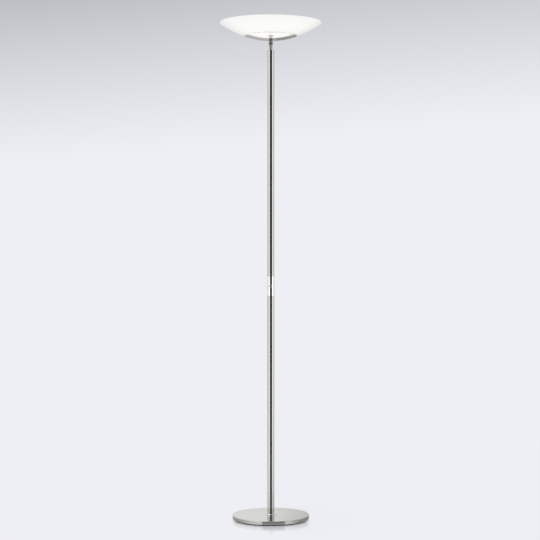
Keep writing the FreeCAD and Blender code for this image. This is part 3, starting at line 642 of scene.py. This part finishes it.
# Nipples and nuts.
# Plain turned brass, slightly tarnished. The nipples join the tubes to the switch
# section, and the nuts clamp the glass and the heat sink.
brass, tree, shader = material("brass", {"Metallic": 1.0})
marks = place_group(tree, turned, Place=object_place(tree), Lines=3000.0, Drift=2.0)
tint(tree, shader, marks.outputs["Haze"], dark=(0.55, 0.38, 0.15), light=(0.72, 0.52, 0.23))
vary(tree, shader, "Roughness", marks.outputs["Height"], low=0.22, high=0.38)
bump(tree, shader, marks.outputs["Height"], depth=0.00002)
dress(brass, "lower_nipple", "upper_nipple", "clamp_nut", "head_nut")


# Dimmer board and its parts.
# Green glass-fibre board with black moulded components, terminals and push switch
# soldered to it. It slides into the carrier inside the sleeve.
board, tree, shader = material("circuit_board", {"Specular IOR Level": 0.5})
weave = place_group(tree, grain, Grains=1800.0, Patches=300.0)
tint(tree, shader, weave.outputs["Patch"], dark=(0.010, 0.075, 0.030), light=(0.018, 0.110, 0.045))
vary(tree, shader, "Roughness", weave.outputs["Patch"], low=0.30, high=0.42)
dress(board, "dimmer_board")
component, tree, shader = material("board_component", {"Specular IOR Level": 0.4})
weave = place_group(tree, grain, Grains=2200.0, Patches=200.0)
tint(tree, shader, weave.outputs["Patch"], dark=(0.022, 0.022, 0.024), light=(0.040, 0.040, 0.042))
vary(tree, shader, "Roughness", weave.outputs["Patch"], low=0.42, high=0.58)
dress(component, "board_parts", "board_terminals", "push_switch", "switch_plunger")


# Driver.
# White polycarbonate tube with the light's power supply sealed in it. It stands in
# the upper tube, above the switch section.
case, tree, shader = material("driver_case", {"Specular IOR Level": 0.5})
moulded = place_group(tree, grain, Grains=1500.0, Patches=30.0)
tint(tree, shader, moulded.outputs["Patch"], dark=(0.62, 0.62, 0.60), light=(0.72, 0.72, 0.70))
vary(tree, shader, "Roughness", moulded.outputs["Patch"], low=0.35, high=0.48)
dress(case, "led_driver")


# Leads.
# Round flexible leads in black sheath, a little mottled. They run from the inlet up
# through the pole to the switch, on to the driver, and from there to the light board.
sheath, tree, shader = material("lead_sheath", {"Specular IOR Level": 0.4})
skin = place_group(tree, grain, Grains=1200.0, Patches=80.0)
tint(tree, shader, skin.outputs["Patch"], dark=(0.014, 0.014, 0.014), light=(0.026, 0.026, 0.026))
vary(tree, shader, "Roughness", skin.outputs["Patch"], low=0.45, high=0.60)
dress(sheath, "mains_lead", "driver_lead", "light_lead")


# Silicone ring, seat and washer.
# Moulded in clear silicone, a little cloudy, to keep the glass off the metal. The ring
# near the dish's rim has a thin flap that laps over the turned-up lip and closes the seam.
silicone, tree, shader = material("clear_silicone", {"Specular IOR Level": 0.4})
cloud = place_group(tree, grain, Grains=600.0, Patches=90.0)
tint(tree, shader, cloud.outputs["Patch"], dark=(0.82, 0.825, 0.82), light=(0.90, 0.90, 0.895))
vary(tree, shader, "Roughness", cloud.outputs["Patch"], low=0.32, high=0.48)
dress(silicone, "glass_seat", "glass_washer")

seal_width = 0.0050
seal_thickness = 0.0012
seal_clearance = 0.00002
seal_segments = 192
flap_thickness = 0.00026
lip_roll = 0.00105
bead_reach = 0.00065
bead_drop = 0.00036
bead_shares = ((0.5, 1.0), (0.85, 0.9), (1.0, 0.5))
bead_tuck_share = 0.85
low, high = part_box("dish_seal")
seal_outer = high[0]
seal_inner = seal_outer - seal_width
seal_middle = (seal_inner + seal_outer) / 2
bowl_bend = (high[2] - low[2] - seal_thickness) / (seal_outer ** 2 - seal_inner ** 2)
glass_foot = high[2] - bowl_bend * seal_outer ** 2
lip_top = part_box("glass_dish")[1][0] - lip_roll
flap_middle = (seal_outer + lip_top) / 2
# Radius and drop below the glass of each point of the ring's section, once round.
seal_drops = (
    (seal_inner, seal_clearance), (seal_inner, seal_thickness), (seal_middle, seal_thickness),
    (seal_outer, seal_thickness), (seal_outer, flap_thickness), (flap_middle, flap_thickness),
    (lip_top, flap_thickness),
    *((lip_top + out * bead_reach, down * bead_drop) for out, down in bead_shares),
    (lip_top + bead_tuck_share * bead_reach, seal_clearance), (lip_top, seal_clearance),
    (flap_middle, seal_clearance), (seal_outer, seal_clearance), (seal_middle, seal_clearance),
)
seal_profile = [(radius, glass_foot + bowl_bend * radius ** 2 - drop) for radius, drop in seal_drops]
bpy.ops.object.select_all(action="DESELECT")
bpy.ops.mesh.primitive_circle_add(
    vertices=seal_segments, radius=seal_profile[0][0], location=(0.0, 0.0, seal_profile[0][1]))
seal = bpy.context.object
seal.name = "lapped_seal"
bpy.ops.object.transform_apply(location=True, rotation=False, scale=False)
bpy.ops.object.mode_set(mode="EDIT")
bpy.ops.mesh.select_all(action="SELECT")
for (radius, height), (next_radius, next_height) in zip(seal_profile, seal_profile[1:]):
    bpy.ops.mesh.extrude_region_move(TRANSFORM_OT_translate={"value": (0.0, 0.0, next_height - height)})
    wider = next_radius / radius
    bpy.ops.transform.resize(value=(wider, wider, 1.0), center_override=(0.0, 0.0, 0.0))
bpy.ops.mesh.select_all(action="DESELECT")
bpy.ops.mesh.select_mode(type="EDGE")
bpy.ops.mesh.select_non_manifold(
    extend=False, use_wire=False, use_boundary=True,
    use_multi_face=False, use_non_contiguous=False, use_verts=False)
bpy.ops.mesh.bridge_edge_loops()
bpy.ops.mesh.select_all(action="SELECT")
bpy.ops.mesh.normals_make_consistent(inside=False)
bpy.ops.object.mode_set(mode="OBJECT")
bpy.ops.object.shade_smooth_by_angle(angle=smooth_angle)
seal.data.materials.append(silicone)
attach(seal, "lamp")
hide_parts("dish_seal")


# Glass bowl.
# Mouth-blown opal glass with a satin skin and a fire-polished rim. Painted light: its colour is paler
# towards the foot and darker towards the top. It is clamped through the hole in its foot.
painted_light_start_share = 0.45
milk_share = 0.15
opal, tree, shader = material("opal_glass", {"Roughness": 0.34, "Specular IOR Level": 0.2})
milk = place_group(tree, grain, Grains=120.0, Patches=9.0)
low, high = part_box("glass_bowl")
up = put(tree, "SeparateXYZ", {0: object_place(tree)}).outputs["Z"]
# Painted light: the glass is coloured paler below and darker towards the top.
painted_light_start = low[2] + painted_light_start_share * (high[2] - low[2])
painted_light_below = rise(tree, up, painted_light_start, high[2], 1.0, 0.0)
painted_light_share = calc(tree, "MULTIPLY", painted_light_below, 1.0 - milk_share)
milk_and_painted_light = calc(tree, "MULTIPLY_ADD", milk.outputs["Patch"], milk_share, painted_light_share)
tint(tree, shader, milk_and_painted_light, dark=(0.842, 0.843, 0.832), light=(0.895, 0.892, 0.878))
bump(tree, shader, milk.outputs["Patch"], depth=0.0002)
dress(opal, "glass_bowl")


# Heat sink.
# A finned plate of aluminium, die cast and blasted. It carries the light board and
# is held on the hollow tube by a nut.
aluminium, tree, shader = material("aluminium", {"Metallic": 1.0})
blast = place_group(tree, grain, Grains=2000.0, Patches=35.0)
tint(tree, shader, blast.outputs["Patch"], dark=(0.62, 0.63, 0.64), light=(0.72, 0.73, 0.74))
vary(tree, shader, "Roughness", blast.outputs["Patch"], low=0.42, high=0.55)
bump(tree, shader, blast.outputs["Height"], depth=0.00004)
dress(aluminium, "heat_sink")


# Light board, chips and connector.
# White lacquered board with small yellow-coated chips and a white plug soldered on.
# Small screws hold it on the heat sink.
white, tree, shader = material("white_board", {"Specular IOR Level": 0.5})
lacquer = place_group(tree, grain, Grains=1000.0, Patches=60.0)
tint(tree, shader, lacquer.outputs["Patch"], dark=(0.78, 0.78, 0.77), light=(0.84, 0.84, 0.83))
vary(tree, shader, "Roughness", lacquer.outputs["Patch"], low=0.30, high=0.40)
dress(white, "light_board", "board_connector")
chip, tree, shader = material("light_chip", {"Specular IOR Level": 0.5})
phosphor = place_group(tree, grain, Grains=3000.0, Patches=700.0)
tint(tree, shader, phosphor.outputs["Patch"], dark=(0.80, 0.52, 0.10), light=(0.90, 0.66, 0.20))
vary(tree, shader, "Roughness", phosphor.outputs["Patch"], low=0.30, high=0.45)
dress(chip, "light_chips")


# Opal cover.
# Shallow dome moulded in opal plastic with a fine matt grain. Its rim turns into a
# bayonet on the heat sink and hides the light board.
cover, tree, shader = material("opal_plastic", {"Specular IOR Level": 0.4})
matt = place_group(tree, grain, Grains=2400.0, Patches=18.0)
tint(tree, shader, matt.outputs["Patch"], dark=(0.86, 0.86, 0.85), light=(0.90, 0.90, 0.89))
vary(tree, shader, "Roughness", matt.outputs["Patch"], low=0.42, high=0.52)
bump(tree, shader, matt.outputs["Height"], depth=0.00002)
dress(cover, "diffuser")
